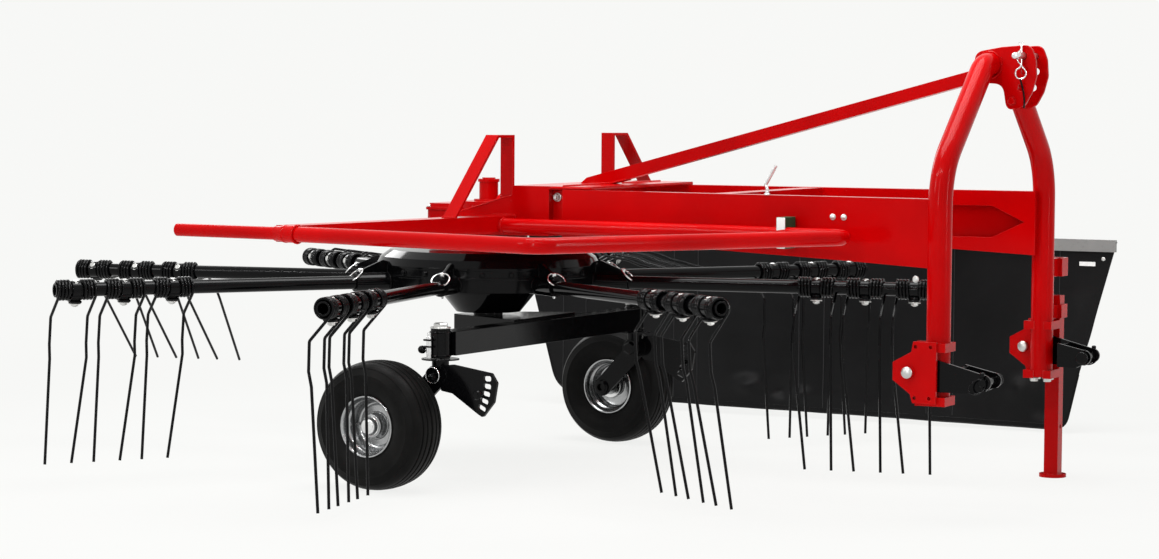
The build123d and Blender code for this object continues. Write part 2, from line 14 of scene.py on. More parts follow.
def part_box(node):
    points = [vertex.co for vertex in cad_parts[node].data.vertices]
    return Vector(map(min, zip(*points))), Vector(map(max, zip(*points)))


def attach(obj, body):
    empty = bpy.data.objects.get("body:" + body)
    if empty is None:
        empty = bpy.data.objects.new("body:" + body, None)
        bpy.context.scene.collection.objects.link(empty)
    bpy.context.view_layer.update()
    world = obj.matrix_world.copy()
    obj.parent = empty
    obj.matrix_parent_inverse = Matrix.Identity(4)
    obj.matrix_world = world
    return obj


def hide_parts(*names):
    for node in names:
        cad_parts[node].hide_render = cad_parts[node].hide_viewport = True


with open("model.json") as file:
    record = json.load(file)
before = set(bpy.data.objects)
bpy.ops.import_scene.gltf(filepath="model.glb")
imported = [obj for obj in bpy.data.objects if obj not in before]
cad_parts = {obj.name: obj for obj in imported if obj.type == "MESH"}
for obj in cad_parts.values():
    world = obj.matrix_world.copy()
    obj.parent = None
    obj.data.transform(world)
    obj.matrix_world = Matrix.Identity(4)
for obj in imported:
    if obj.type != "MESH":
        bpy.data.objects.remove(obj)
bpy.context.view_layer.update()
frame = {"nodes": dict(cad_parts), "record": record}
nodes = frame["nodes"]
hub_low, hub_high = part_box("rotor_hub")
AXIS = Vector(((hub_low.x + hub_high.x) / 2, (hub_low.y + hub_high.y) / 2, 0))
MM = 0.001
UP = Vector((0, 0, 1))
SIDES = (("right", -1), ("left", 1))
CASTER_TURN, AXLE_TURN = -5.0, -2.3  # degrees out of square, as the machine stands
LEG_Y = 446  # headstock legs, left and right of the middle


def mm(x, y, z):
    """A point given in millimetres from the foot of the rotor's axis."""
    return AXIS + Vector((x, y, z)) * MM


# ---------------------------------------------------------------- mesh making
def facing(origin, normal, x_hint=(0, 0, 1)):
    """Placement at a millimetre point whose local z is the normal and local x is near the hint."""
    z = Vector(normal).normalized()
    x = Vector(x_hint) - z * z.dot(Vector(x_hint))
    if x.length < 1e-4:
        x = Vector((1, 0, 0)) - z * z.x
    x.normalize()
    place = Matrix((x, z.cross(x), z)).transposed().to_4x4()
    place.translation = Vector(origin)
    return place


def upright(y):
    """Placement of an x, z outline on the plane at y; its thickness grows towards the machine's right."""
    return Matrix(((1, 0, 0, 0), (0, 0, -1, y), (0, 1, 0, 0), (0, 0, 0, 1)))


def level_ring(radius, height, half):
    """A closed circle about local z; half its points go round half of it."""
    return [Vector((radius * cos(a * pi / half), radius * sin(a * pi / half), height))
            for a in range(2 * half + 1)]


def ring_about(middle, one, other, radius, half, span):
    """Points on a circle spanned by two directions, at the steps in span of pi / half each."""
    return [middle + (one * cos(a * pi / half) + other * sin(a * pi / half)) * radius for a in span]


def rounded(points, radius, steps=4, closed=False):
    """The points of a line in 2-D or 3-D, its corners rounded to about the radius."""
    points = [Vector(p) for p in points]
    out = [] if closed else [points[0]]
    span = range(len(points)) if closed else range(1, len(points) - 1)
    for i in span:
        corner, before, after = points[i], points[i - 1], points[(i + 1) % len(points)]
        to_before, to_after = before - corner, after - corner
        half = to_before.angle(to_after, pi) / 2
        cut = min(radius / max(tan(half), 0.05), to_before.length * 0.45, to_after.length * 0.45)
        start = corner + to_before.normalized() * cut
        end = corner + to_after.normalized() * cut
        for k in range(steps + 1):
            t = k / steps
            out.append(start * (1 - t) ** 2 + corner * 2 * t * (1 - t) + end * t ** 2)
    if not closed:
        out.append(points[-1])
    return out


def oblong(half_x, half_y, radius, steps):
    """A rectangle about the origin, given by its half sizes, with rounded corners."""
    corners = [(-half_x, -half_y), (half_x, -half_y), (half_x, half_y), (-half_x, half_y)]
    return rounded(corners, radius, steps, closed=True)


class Form:
    """Collects vertices, in millimetres from the rotor's foot, and faces."""

    def __init__(self):
        self.points, self.faces = [], []

    def add(self, points, faces, place=Matrix.Identity(4)):
        first = len(self.points)
        self.points += [place @ Vector(p) for p in points]
        self.faces += [[first + i for i in face] for face in faces]
        return self

    def again(self, other, place):
        return self.add(other.points, other.faces, place)

    def lathe(self, profile, place=Matrix.Identity(4), steps=32, closed=False):
        """A profile of (radius, height) turned about local z. Radius 0 closes an end."""
        points, rings, faces = [], [], []
        for radius, height in profile:
            if radius < 1e-6:
                rings.append([len(points)] * steps)
                points.append((0, 0, height))
                continue
            ring = []
            for k in range(steps):
                angle = 2 * pi * k / steps
                ring.append(len(points))
                points.append((radius * cos(angle), radius * sin(angle), height))
            rings.append(ring)
        pairs = list(zip(rings, rings[1:])) + ([(rings[-1], rings[0])] if closed else [])
        for lower, upper in pairs:
            for k in range(steps):
                n = (k + 1) % steps
                face = [lower[k], lower[n], upper[n], upper[k]]
                face = [v for i, v in enumerate(face) if v != face[i - 1]]
                if len(face) > 2:
                    faces.append(face)
        return self.add(points, faces, place)

    def prism(self, outline, low, high, place=Matrix.Identity(4), edge=1.0):
        """An outline in local x, y between two heights, its rims chamfered by edge."""
        outline = [Vector(p[:2]) for p in outline]
        area = sum(a.x * b.y - a.y * b.x for a, b in zip(outline, outline[1:] + outline[:1]))
        if area < 0:
            outline.reverse()
        count, inner = len(outline), []
        for i, corner in enumerate(outline):
            a = (corner - outline[i - 1]).normalized()
            b = (outline[(i + 1) % count] - corner).normalized()
            normal = Vector((-a.y - b.y, a.x + b.x))
            normal = normal.normalized() if normal.length > 1e-6 else Vector((-a.y, a.x))
            inner.append(corner + normal * edge / max(normal.dot(Vector((-a.y, a.x))), 0.4))
        rings = ((inner, low), (outline, low + edge), (outline, high - edge), (inner, high))
        points = [(p.x, p.y, z) for ring, z in rings for p in ring]
        faces = [list(range(count))[::-1], [3 * count + i for i in range(count)]]
        for level in range(3):
            for i in range(count):
                n = (i + 1) % count
                here, above = level * count, (level + 1) * count
                faces.append([here + i, here + n, above + n, above + i])
        return self.add(points, faces, place)

    def tube(self, line, radius, sides=10, loop=False):
        """A round bar along a line of points; radius may be a list, one for each point."""
        line = [Vector(p) for p in line]
        count = len(line)
        radii = radius if isinstance(radius, list) else [radius] * count
        ahead = [(line[(i + 1) % count] - line[i - 1]) if loop or 0 < i < count - 1 else
                 (line[1] - line[0] if i == 0 else line[-1] - line[-2]) for i in range(count)]
        side = ahead[0].orthogonal().normalized()
        points, faces = [], []
        for i in range(count):
            t = ahead[i].normalized()
            side = (side - t * t.dot(side)).normalized()
            other = t.cross(side)
            points += [line[i] + (side * cos(2 * pi * k / sides) + other * sin(2 * pi * k / sides)) * radii[i]
                       for k in range(sides)]
        for i in range(count if loop else count - 1):
            here, there = i * sides, (i + 1) % count * sides
            for k in range(sides):
                n = (k + 1) % sides
                faces.append([here + k, here + n, there + n, there + k])
        if not loop:
            faces += [list(range(sides))[::-1], [(count - 1) * sides + k for k in range(sides)]]
        return self.add(points, faces)

    def bolt(self, place, across, height, washer=0.0, thick=2.0):
        """A hexagon head with a chamfered crown standing on local z = 0, on a washer if one is given."""
        if washer:
            rim = washer - 0.6
            self.lathe([(rim, 0), (washer, 0.5), (washer, thick - 0.5), (rim, thick), (0, thick)], place, 20)
        base, r = (thick if washer else 0.0), across / 2 / cos(pi / 6)
        rise = base + height
        self.lathe([(r, base), (r, rise - height * 0.25), (r * 0.84, rise), (0, rise)], place, 6)
        return self

    def nut(self, place, across, height, stud, proud, washer=0.0, thick=2.0):
        """A hexagon nut with the threaded end of its bolt standing proud."""
        self.bolt(place, across, height, washer, thick)
        base = (thick if washer else 0.0) + height
        turns = [(stud - 0.45 * (k % 2), base - 0.5 + proud * k / 8) for k in range(8)]
        self.lathe(turns + [(stud - 1.2, base + proud), (0, base + proud)], place, 12)
        return self

    def weld(self, line, size, seed):
        """A weld bead along a line: a rippled low ridge of overlapping scales."""
        draw = random.Random(seed)
        line = [Vector(p) for p in line]
        pitch = size * 0.42
        path, radii = [], []
        for start, end in zip(line, line[1:]):
            steps = max(2, int((end - start).length / pitch))
            for k in range(steps):
                path.append(start.lerp(end, k / steps))
        path.append(line[-1])
        for k in range(len(path)):
            radii.append(size * (0.5 + 0.09 * (k % 2) + draw.uniform(-0.05, 0.05)))
        radii[0] *= 0.6
        radii[-1] *= 0.6
        return self.tube(path, radii, 6)


def plate(form, outline, holes, thick, place, edge=1.5):
    """A plate with holes and softened rims, standing on local z = 0."""
    curve = bpy.data.curves.new("outline", "CURVE")
    curve.dimensions, curve.fill_mode = "2D", "BOTH"
    curve.extrude, curve.bevel_depth, curve.offset, curve.bevel_resolution = thick / 2 - edge, edge, -edge, 1
    for line in [outline, *holes]:
        spline = curve.splines.new("POLY")
        spline.points.add(len(line) - 1)
        for point, corner in zip(spline.points, line):
            point.co = (corner[0], corner[1], 0, 1)
        spline.use_cyclic_u = True
    holder = bpy.data.objects.new("outline", curve)
    mesh = bpy.data.meshes.new_from_object(holder)
    form.add([v.co for v in mesh.vertices], [list(face.vertices) for face in mesh.polygons],
             place @ Matrix.Translation((0, 0, thick / 2)))
    bpy.data.objects.remove(holder)
    bpy.data.curves.remove(curve)
    bpy.data.meshes.remove(mesh)


def circle(x, y, radius):
    return [(x + radius * cos(2 * pi * k / 32), y + radius * sin(2 * pi * k / 32)) for k in range(32)]


def placed(name, data):
    """A new object in the scene."""
    made = bpy.data.objects.new(name, data)
    bpy.context.scene.collection.objects.link(made)
    return made


def piece(name, form, finish, body, stands_for=(), crease=35):
    """Makes the mesh object of a form and fixes it to its body."""
    mesh = bpy.data.meshes.new(name)
    mesh.from_pydata([AXIS + p * MM for p in form.points], [], form.faces)
    mesh.validate()
    mesh.shade_smooth()
    mesh.set_sharp_from_angle(angle=radians(crease))
    made = placed(name, mesh)
    mesh.materials.append(finish[0])
    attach(made, body)
    if stands_for:
        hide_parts(*stands_for)
    return made


# ---------------------------------------------------------------- materials
class Nodes:
    """Short calls for wiring a material's nodes."""

    def __init__(self, name):
        self.material = bpy.data.materials.new(name)
        self.material.use_nodes = True
        self.tree = self.material.node_tree
        self.tree.nodes.clear()
        self.out = self.new("OutputMaterial")
        self.shader = self.new("BsdfPrincipled")
        self.link(self.shader.outputs[0], self.out.inputs[0])
        self.place = self.new("TexCoord").outputs["Object"]

    def new(self, kind, **values):
        node = self.tree.nodes.new("ShaderNode" + kind)
        for key, value in values.items():
            setattr(node, key, value)
        return node

    def link(self, a, b):
        self.tree.links.new(a, b)

    def noise(self, scale, detail=3.0, rough=0.5):
        node = self.new("TexNoise")
        node.inputs["Scale"].default_value = scale
        node.inputs["Detail"].default_value = detail
        node.inputs["Roughness"].default_value = rough
        self.link(self.place, node.inputs["Vector"])
        return node.outputs[0]

    def ramp(self, value, stops, smooth=False):
        node = self.new("ValToRGB")
        if smooth:
            node.color_ramp.interpolation = "EASE"
        elements = node.color_ramp.elements
        for i, (where, colour) in enumerate(stops):
            element = elements[i] if i < 2 else elements.new(where)
            element.position = where
            element.color = colour if isinstance(colour, tuple) else (colour, colour, colour, 1)
        self.link(value, node.inputs[0])
        return node.outputs[0]

    def mix(self, factor, a, b):
        node = self.new("MixRGB")
        for socket, value in zip(node.inputs, (factor, a, b)):
            if isinstance(value, bpy.types.NodeSocket):
                self.link(value, socket)
            elif isinstance(value, tuple):
                socket.default_value = value
            else:
                socket.default_value = value if socket.type == "VALUE" else (value, value, value, 1)
        return node.outputs[0]

    def math(self, kind, a, b=0.0):
        node = self.new("Math", operation=kind)
        for socket, value in zip(node.inputs, (a, b)):
            if isinstance(value, bpy.types.NodeSocket):
                self.link(value, socket)
            else:
                socket.default_value = value
        return node.outputs[0]

    def edges(self, radius):
        """How far a point lies within a rounded edge, from 0 on a flat face."""
        bevel, geometry = self.new("Bevel", samples=4), self.new("NewGeometry")
        bevel.inputs["Radius"].default_value = radius
        dot = self.new("VectorMath", operation="DOT_PRODUCT")
        self.link(bevel.outputs[0], dot.inputs[0])
        self.link(geometry.outputs["Normal"], dot.inputs[1])
        return self.math("SUBTRACT", 1.0, dot.outputs["Value"])

    def relief(self, height, strength, distance, round_edges=0.0):
        bump = self.new("Bump")
        bump.inputs["Strength"].default_value = strength
        bump.inputs["Distance"].default_value = distance
        self.link(height, bump.inputs["Height"])
        if round_edges:
            bevel = self.new("Bevel", samples=4)
            bevel.inputs["Radius"].default_value = round_edges
            self.link(bevel.outputs[0], bump.inputs["Normal"])
        self.link(bump.outputs[0], self.shader.inputs["Normal"])

    def set(self, **values):
        for key, value in values.items():
            socket = self.shader.inputs[key.replace("_", " ")]
            if isinstance(value, bpy.types.NodeSocket):
                self.link(value, socket)
            else:
                socket.default_value = value


def enamel(name, colour, shade, dust_wear_and_highlight, roughness, gloss, coat):
    """Sprayed gloss paint: slow drift of tone, orange peel, dust specks, and edges lightened as wear and as a
    painted highlight.
    """
    n = Nodes(name)
    tone = n.ramp(n.noise(3.0, 4), [(0.3, shade), (0.7, colour)], smooth=True)
    specks = n.ramp(n.noise(140, 2, 0.6), [(0.64, 0.0), (0.76, 1.0)])
    tone = n.mix(n.math("MULTIPLY", specks, 0.035), tone, dust_wear_and_highlight)
    # Rounded edges lightened towards the paler colour in patches: partly wear, partly a painted highlight along
    # the edges.
    edge_wear_and_highlight = n.math("MULTIPLY", n.ramp(n.edges(0.003), [(0.05, 0.0), (0.35, 1.0)]),
                   n.ramp(n.noise(35, 3), [(0.40, 0.10), (0.68, 0.55)]))
    tone = n.mix(edge_wear_and_highlight, tone, dust_wear_and_highlight)
    peel = n.noise(260, 2, 0.4)
    drift = n.math("MULTIPLY", n.noise(9, 4, 0.6), 0.10)
    n.set(Base_Color=tone, Roughness=n.math("ADD", drift, roughness - 0.05),
          Specular_IOR_Level=gloss, Coat_Weight=coat, Coat_Roughness=0.06)
    n.relief(peel, 0.10, 0.0006, round_edges=0.0018)
    return n.material


def metal(name, dark, light, roughness, grain, relief):
    """Plated or painted silver: a drift of tone, fine grain in the roughness, small dull spots."""
    n = Nodes(name)
    tone = n.ramp(n.noise(14, 4, 0.6), [(0.3, dark), (0.7, light)])
    spots = n.ramp(n.noise(120, 3, 0.6), [(0.60, 0.0), (0.78, 0.5)])
    tone = n.mix(spots, tone, tuple(c * 0.72 for c in dark[:3]) + (1,))
    n.set(Base_Color=tone, Metallic=1.0,
          Roughness=n.math("ADD", n.math("MULTIPLY", n.noise(grain, 3), 0.16), roughness - 0.08))
    n.relief(n.noise(grain * 2, 2), relief, 0.0004, round_edges=0.0008)
    return n.material


def rubber():
    """Tyre rubber: faint mould grain, grey bloom in patches."""
    n = Nodes("tyre_black")
    dark, grey = (0.0024, 0.0024, 0.0024, 1), (0.0068, 0.0066, 0.0063, 1)
    bloom = n.ramp(n.noise(11, 5, 0.6), [(0.35, dark), (0.75, grey)])
    n.set(Base_Color=bloom, Roughness=n.math("ADD", n.math("MULTIPLY", n.noise(24, 3), 0.2), 0.36),
          Specular_IOR_Level=0.07)
    n.relief(n.noise(380, 4, 0.7), 0.22, 0.0005)
    return n.material


def coated_cloth():
    """Black coated curtain cloth: fine woven relief under the coat, dull handled patches."""
    n = Nodes("curtain_cloth")
    threads = []
    for direction in ("X", "Z"):
        wave = n.new("TexWave", wave_type="BANDS", bands_direction=direction)
        wave.inputs["Scale"].default_value = 190
        wave.inputs["Distortion"].default_value = 0.6
        n.link(n.place, wave.inputs["Vector"])
        threads.append(wave.outputs["Fac"])
    weave = n.math("MULTIPLY", *threads)
    dark, handled = (0.0038, 0.0038, 0.0040, 1), (0.0072, 0.0072, 0.0076, 1)
    tone = n.ramp(n.noise(2.2, 5, 0.6), [(0.35, dark), (0.7, handled)])
    n.set(Base_Color=n.mix(n.math("MULTIPLY", weave, 0.3), tone, (0.010, 0.010, 0.0105, 1)),
          Roughness=n.math("ADD", n.math("MULTIPLY", n.noise(5, 4), 0.20), 0.24), Specular_IOR_Level=0.11)
    n.relief(weave, 0.12, 0.0005)
    return n.material


def label_white():
    n = Nodes("blank_label")
    tone = n.ramp(n.noise(40, 3), [(0.3, (0.72, 0.72, 0.71, 1)), (0.7, (0.84, 0.84, 0.83, 1))])
    n.set(Base_Color=tone, Roughness=n.math("ADD", n.math("MULTIPLY", n.noise(60, 2), 0.1), 0.3))
    n.relief(n.noise(500, 2), 0.05, 0.0003)
    return n.material


# Each finish is a material and the slot it fills. Enamels: colour, shade, dust and edge colour (on edges partly
# a painted highlight), roughness, gloss, coat
RED = (enamel("red_enamel", (0.52, 0.0004, 0.0010, 1), (0.40, 0.0003, 0.0008, 1), (0.74, 0.085, 0.08, 1),
              0.15, 0.065, 0.0), "red_paint")
BLACK = (enamel("black_enamel", (0.0022, 0.0022, 0.0025, 1), (0.0015, 0.0015, 0.0018, 1),
                (0.020, 0.020, 0.022, 1), 0.10, 0.12, 0.0), "black_paint")
ZINC = (metal("zinc_plated", (0.50, 0.50, 0.49, 1), (0.70, 0.70, 0.68, 1), 0.34, 90, 0.1), "zinc")
BRIGHT = (metal("bright_plated", (0.62, 0.62, 0.62, 1), (0.86, 0.86, 0.86, 1), 0.18, 60, 0.05), "zinc")
SILVER = (metal("silver_rim", (0.30, 0.303, 0.306, 1), (0.44, 0.445, 0.45, 1), 0.22, 70, 0.08), "zinc")
RAIL = (metal("rail_galvanised", (0.235, 0.235, 0.230, 1), (0.275, 0.275, 0.27, 1), 0.55, 30, 0.02), "zinc")
RUBBER = (rubber(), "tyre_rubber")
CLOTH = (coated_cloth(), "curtain_sheet")
LABEL = (label_white(), "curtain_sheet")
# Grey of the curtain seams: a painted sheen along their ridges, lighter than the cloth.
SEAM_SHEEN = (enamel("seam_painted_sheen", (0.030, 0.030, 0.031, 1), (0.020, 0.020, 0.021, 1), (0.05, 0.05, 0.05, 1),
                 0.4, 0.15, 0.0), "curtain_sheet")
GREEN = (enamel("green_nylon", (0.004, 0.075, 0.035, 1), (0.003, 0.055, 0.026, 1), (0.05, 0.16, 0.11, 1),
                0.4, 0.3, 0.0), "curtain_sheet")

FINISHES = {"red_paint": RED, "black_paint": BLACK, "zinc": ZINC, "tyre_rubber": RUBBER, "curtain_sheet": CLOTH}
for part in frame["record"]["subparts"]:
    slots = nodes[part["node"]].data.materials
    slots.clear()
    slots.append((RAIL if part["node"] == "curtain_rail" else FINISHES[part["material_slot"]])[0])


# ---------------------------------------------------------------- spring tines
ARM_Z, FIRST_ARM, ARM_PITCH = 562, -35, 45
PLACES = (1018, 1164, 1310)  # the three pairs on an arm, from the rotor's axis
LIFTS = (-5, 6, 0, 80, 80, 53, 8, 0)  # degrees that each arm's tines are swung back from hanging
WIRE_R, COIL_R, COIL_START, COIL_PITCH, COIL_TURNS = 4.3, 26.2, 15.0, 9.9, 4
KINKS = ((-40, 86), (-42, 166), (-34, 206), (-12, 536))  # a wire's bends: how far ahead, how far down
TIP_OUT, TIP_SPREAD = 24, 39.5
EXIT_ANGLE = atan2(0.654, 0.757)  # where the wires leave their coil
SHORT_ARM, SHORT_WIRE = 7, 510  # this arm's wires end higher


def arm_axes(number):
    """A tine arm's azimuth, the way it points and the way it travels."""
    azimuth = radians(FIRST_ARM + ARM_PITCH * number)
    return azimuth, Vector((cos(azimuth), sin(azimuth), 0)), Vector((-sin(azimuth), cos(azimuth), 0))


def double_tine(wire_end):
    """Two sprung wires from one coil pair: the coils round the arm and the bent wires below."""
    form = Form()
    for way in (-1, 1):
        steps = 26
        helix = []
        for k in range(COIL_TURNS * steps + 1):
            angle = EXIT_ANGLE + 2 * pi * (k / steps - COIL_TURNS)
            along = way * (COIL_START + COIL_PITCH * k / steps)
            helix.append((COIL_R * cos(angle), along, COIL_R * sin(angle)))
        end = helix[-1][1]
        tip = TIP_OUT + way * TIP_SPREAD
        corners = [(a, end, depth) for a, depth in KINKS[:3]]
        bends = rounded([helix[-1], *corners, (KINKS[3][0], tip, wire_end)], 14)
        bridge = [(COIL_R * cos(EXIT_ANGLE), 0, COIL_R * sin(EXIT_ANGLE))]
        form.tube(bridge + helix + bends[1:], WIRE_R, 9)
    return form


clamp_shell, pair_bolts = Form(), Form()
# Clamp under each pair: a shell round the arm between the coils and a pressed cap below them
shell = facing((0, -13, 0), (0, 1, 0), (1, 0, 0))
clamp_shell.lathe([(20.2, 0), (24.5, 0), (25.5, 1), (25.5, 25), (24.5, 26), (20.2, 26)], shell, 28)
clamp_shell.prism(oblong(19, 17, 7, 3), 28.5, 37.5, edge=3)
clamp_shell.prism(oblong(11, 12, 4, 2), 19, 30, edge=0.5)
pair_bolts.bolt(facing((0, 0, -20.5), (0, 0, -1), (1, 0, 0)), 16, 5, washer=13, thick=2.2)
pair_bolts.nut(facing((0, 0, 37.5), (0, 0, 1), (1, 0, 0)), 19, 7, 6, 2, washer=17.5, thick=2.6)

for number, lift in enumerate(LIFTS):
    azimuth, out, travel = arm_axes(number)
    down = Vector((0, 0, -1)) * cos(radians(lift)) - travel * sin(radians(lift))
    ahead = Vector((0, 0, -1)) * sin(radians(lift)) + travel * cos(radians(lift))
    place = Matrix((ahead, out, down)).transposed().to_4x4()
    tines, bolts = Form(), Form()
    wires = double_tine(SHORT_WIRE if number + 1 == SHORT_ARM else KINKS[3][1])
    for along in PLACES:
        place.translation = Vector((0, 0, ARM_Z)) + out * along
        tines.again(wires, place).again(clamp_shell, place)
        bolts.again(pair_bolts, place)
    piece(f"double_tines_{number + 1}", tines, BLACK, "rotor", [f"spring_tines_{number + 1}"])
    piece(f"tine_bolts_{number + 1}", bolts, ZINC, "rotor")


# ---------------------------------------------------------------- wheels
def place_of(node):
    low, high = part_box(node)
    return ((low + high) / 2 - AXIS) / MM


# Profiles of the wheel: distance from the axle and height along it, outward positive
SIDEWALL = ((79.0, 51), (82.5, 57.5), (88, 60.2), (92, 63), (95, 64), (99, 67.0), (109, 71.4), (122, 75.4),
            (134, 77.2), (143, 77.0), (145, 77.9), (147, 77.9), (149, 76.4), (157, 73.6), (165, 68.4),
            (166.5, 68.8), (168.5, 67.0), (173, 61.4), (177.4, 54.4), (179.8, 48.5))
GROOVES = ((41.5, 36.5), (23.5, 18.5), (4.0, -4.0))


def tread():
    """The crown from one shoulder to the other, with its grooves."""
    def crown(h):
        return 185 - 5.2 * (abs(h) / 48.5) ** 2.2
    line, cuts = [], list(GROOVES) + [(-low, -high) for high, low in reversed(GROOVES[:2])]
    for high, low in cuts:
        line += [(crown(high) - 0.4, high + 1.2), (crown(high) - 2.2, high), (crown(high) - 7.5, high - 0.9),
                 (crown(low) - 7.5, low + 0.9), (crown(low) - 2.2, low), (crown(low) - 0.4, low - 1.2)]
    return line


TYRE = [*SIDEWALL, *tread(), *((r, -h) for r, h in reversed(SIDEWALL))]
RIM_FRONT = ((89.2, 52), (91.5, 58.6), (95.6, 59.6), (97.8, 61.4), (98.2, 63.8), (96.4, 65.4), (93.4, 65.2),
             (90.6, 62.8), (88.6, 58.4), (87.0, 50), (85.6, 44.4), (82.0, 41.2), (79.4, 37.5), (78.4, 31),
             (77.8, 9), (76.4, 4.6), (73.2, 1.4), (69.4, 0.2), (66.8, 1.2), (65.4, 4.4), (63.6, 6.6),
             (60.4, 7.2), (46, 7.2), (42.8, 8.2), (40.8, 10.6), (39.6, 14), (38.2, 15.6), (37.4, 18),
             (37.2, 35.4), (36.2, 37.6), (34, 38.4), (24, 38.4))
RIM_BACK = ((15.2, 38.4), (15.2, -44.8), (21, -46), (30, -46), (31.6, -44.4), (32, -10), (34, -6.6), (38, -4.4),
            (60, -3.6), (66, -4.6), (72.6, -6.4), (75, -9.6), (75.4, -31), (76.4, -37.5), (79.4, -41.2),
            (84, -44.4), (87.0, -50), (88.6, -58.4), (90.6, -62.8), (93.4, -65.2), (96.4, -65.4), (98.2, -63.8),
            (97.8, -61.4), (95.6, -59.6), (91.5, -58.6), (89.2, -52))
CAP = ((0, 60.5), (17, 60.5), (21.5, 59.6), (25.4, 56.4), (27.2, 52), (27.8, 44), (28.4, 41.8), (30.4, 40.4),
       (30.6, 36))
BORE_R, RIM_SHARE = 16, 0.9  # beyond its bore, the rim's radii are this share of the profile's
for side, way in SIDES:
    outward = Vector((-sin(radians(CASTER_TURN)), cos(radians(CASTER_TURN)), 0)) * way
    axle = facing(place_of(f"{side}_tyre"), outward)
    tyre = Form().lathe(TYRE, axle, 96, closed=True)
    piece(f"{side}_ribbed_tyre", tyre, RUBBER, f"{side}_wheel", [f"{side}_tyre"], 28)
    profile = [(r * RIM_SHARE if r > BORE_R else r, h) for r, h in RIM_FRONT + RIM_BACK]
    rim = Form().lathe(profile, axle, 80, closed=True)
    rim.tube([axle @ Vector(p) for p in rounded([(0, 63.5, -2), (0, 63.5, 16), (0, 68, 30)], 8)], 4.0, 12)
    rim.tube([axle @ Vector(p) for p in ((0, 68, 30), (0, 71, 38))], 4.8, 12)
    rim.weld([axle @ p for p in level_ring(37.6, 8.6, 24)], 5.5, 3)
    rim.weld([axle @ p for p in level_ring(29.4, -5.5, 24)], 5.5, 4)
    piece(f"{side}_pressed_rim", rim, SILVER, f"{side}_wheel", [f"{side}_rim"], 32)
    cap = Form().lathe([(r * RIM_SHARE, h) for r, h in CAP[::-1]], axle, 48)
    cap.lathe([(27.4, -47), (37.4, -47), (38.4, -45.6), (38.4, -43), (27.4, -43)], axle, 48, closed=True)
    piece(f"{side}_axle_cap", cap, BRIGHT, f"{side}_wheel", (), 32)


# ---------------------------------------------------------------- caster hardware
KINGPIN_X, KINGPIN_Y, KINGPIN_WELD_R = 192, 590, 29
DISC_TOP, HANDLE_Z, CROSS_Z = 374, 398, 320
LOCK_X, LOCK_OUT = -17, 32


def ring_pin(form, top, length, radius, ring, hang, turn=0.0):
    """A lynch pin: a short pin hanging down from its top, and the sprung ring through its head."""
    top = Vector(top)
    form.lathe([(0, -length), (radius * 0.6, -length), (radius, -length + 4), (radius, 0), (radius + 2.4, 1.5),
                (radius + 2.4, 11), (radius, 13), (0, 13)], Matrix.Translation(top), 20)
    across = Vector((cos(turn), sin(turn), 0))
    loop = ring_about(top + UP * 7 + hang, hang.normalized(), across, ring, 16, range(32))
    form.tube(loop, 2.1, 8, loop=True)


for side, way in SIDES:
    angle = radians(AXLE_TURN)
    kx = KINGPIN_X * cos(angle) - way * KINGPIN_Y * sin(angle)
    ky = KINGPIN_X * sin(angle) + way * KINGPIN_Y * cos(angle)
    along = Vector((cos(radians(CASTER_TURN)), sin(radians(CASTER_TURN)), 0))
    beside = Vector((-along.y, along.x, 0)) * way

    def at(x, out, z):
        """A point given from the kingpin: ahead along the caster, out to its side, and up."""
        return Vector((kx, ky, z)) + along * x + beside * out

    cap = Form()
    cap.lathe([(28, 0), (29.5, 0.8), (29.5, 3.4), (28.5, 4.2), (0, 4.2)], facing(at(0, 0, 458.2), UP), 40)
    cap.bolt(facing(at(0, 0, 462), UP, along), 38, 12)
    piece(f"{side}_kingpin_nut", cap, ZINC, f"{side}_caster")

    # The plunger ends just above its disc, which has no hole here
    lock = Form()
    lock.lathe([(0, 0.4), (5, 0.4), (8.4, 0.6), (8.4, 60), (7.4, 61), (6.2, 62), (6.2, 72), (0, 73)],
               facing(at(LOCK_X, LOCK_OUT, DISC_TOP), UP), 24)
    lock.tube([at(LOCK_X, LOCK_OUT, HANDLE_Z), at(-36, LOCK_OUT, HANDLE_Z)], 3.0, 10)
    piece(f"{side}_lock_plunger", lock, BRIGHT, "frame")
    knob = Form().lathe([(0, 0), (8, 0), (10.6, 3), (11.6, 9), (10.6, 15), (7, 19), (0, 20)],
                        facing(at(-32, LOCK_OUT, HANDLE_Z), -along), 28)
    for z in (405, 424):
        knob.prism(oblong(14, 12, 3, 2), 0, 5, facing(at(LOCK_X, LOCK_OUT - 1, z), UP, along), 0.6)
    piece(f"{side}_lock_knob", knob, BLACK, "frame")

    fixings = Form()
    fixings.bolt(facing(at(0, 43, CROSS_Z), beside), 16, 7, washer=11)
    fixings.bolt(facing(at(0, -23.5, CROSS_Z), -beside), 36, 10, washer=27)
    fixings.lathe([(22, 0), (24, 1), (24, 4), (19, 6), (18, 9), (11, 9)],
                  facing(at(-131, 17.2, 185), -beside), 32)
    fixings.lathe([(6, 0), (6, 14), (12, 15), (14, 19), (14, 25), (11, 29), (0, 30)],
                  facing(at(160, 28.5, 281), beside), 24)
    piece(f"{side}_caster_fixings", fixings, BLACK, f"{side}_caster")
    clip = Form().tube(ring_about(at(4, 46, 328), along, UP, 22.5, 18, range(36)), 1.7, 8, loop=True)
    piece(f"{side}_cross_pin_clip", clip, BRIGHT, f"{side}_caster")
    welds = Form()
    for z, seed in ((381, 5), (448, 6)):
        welds.weld([Vector((kx, ky, 0)) + p for p in level_ring(KINGPIN_WELD_R, z, 16)], 5, seed)
    piece(f"{side}_kingpin_welds", welds, BLACK, "frame")


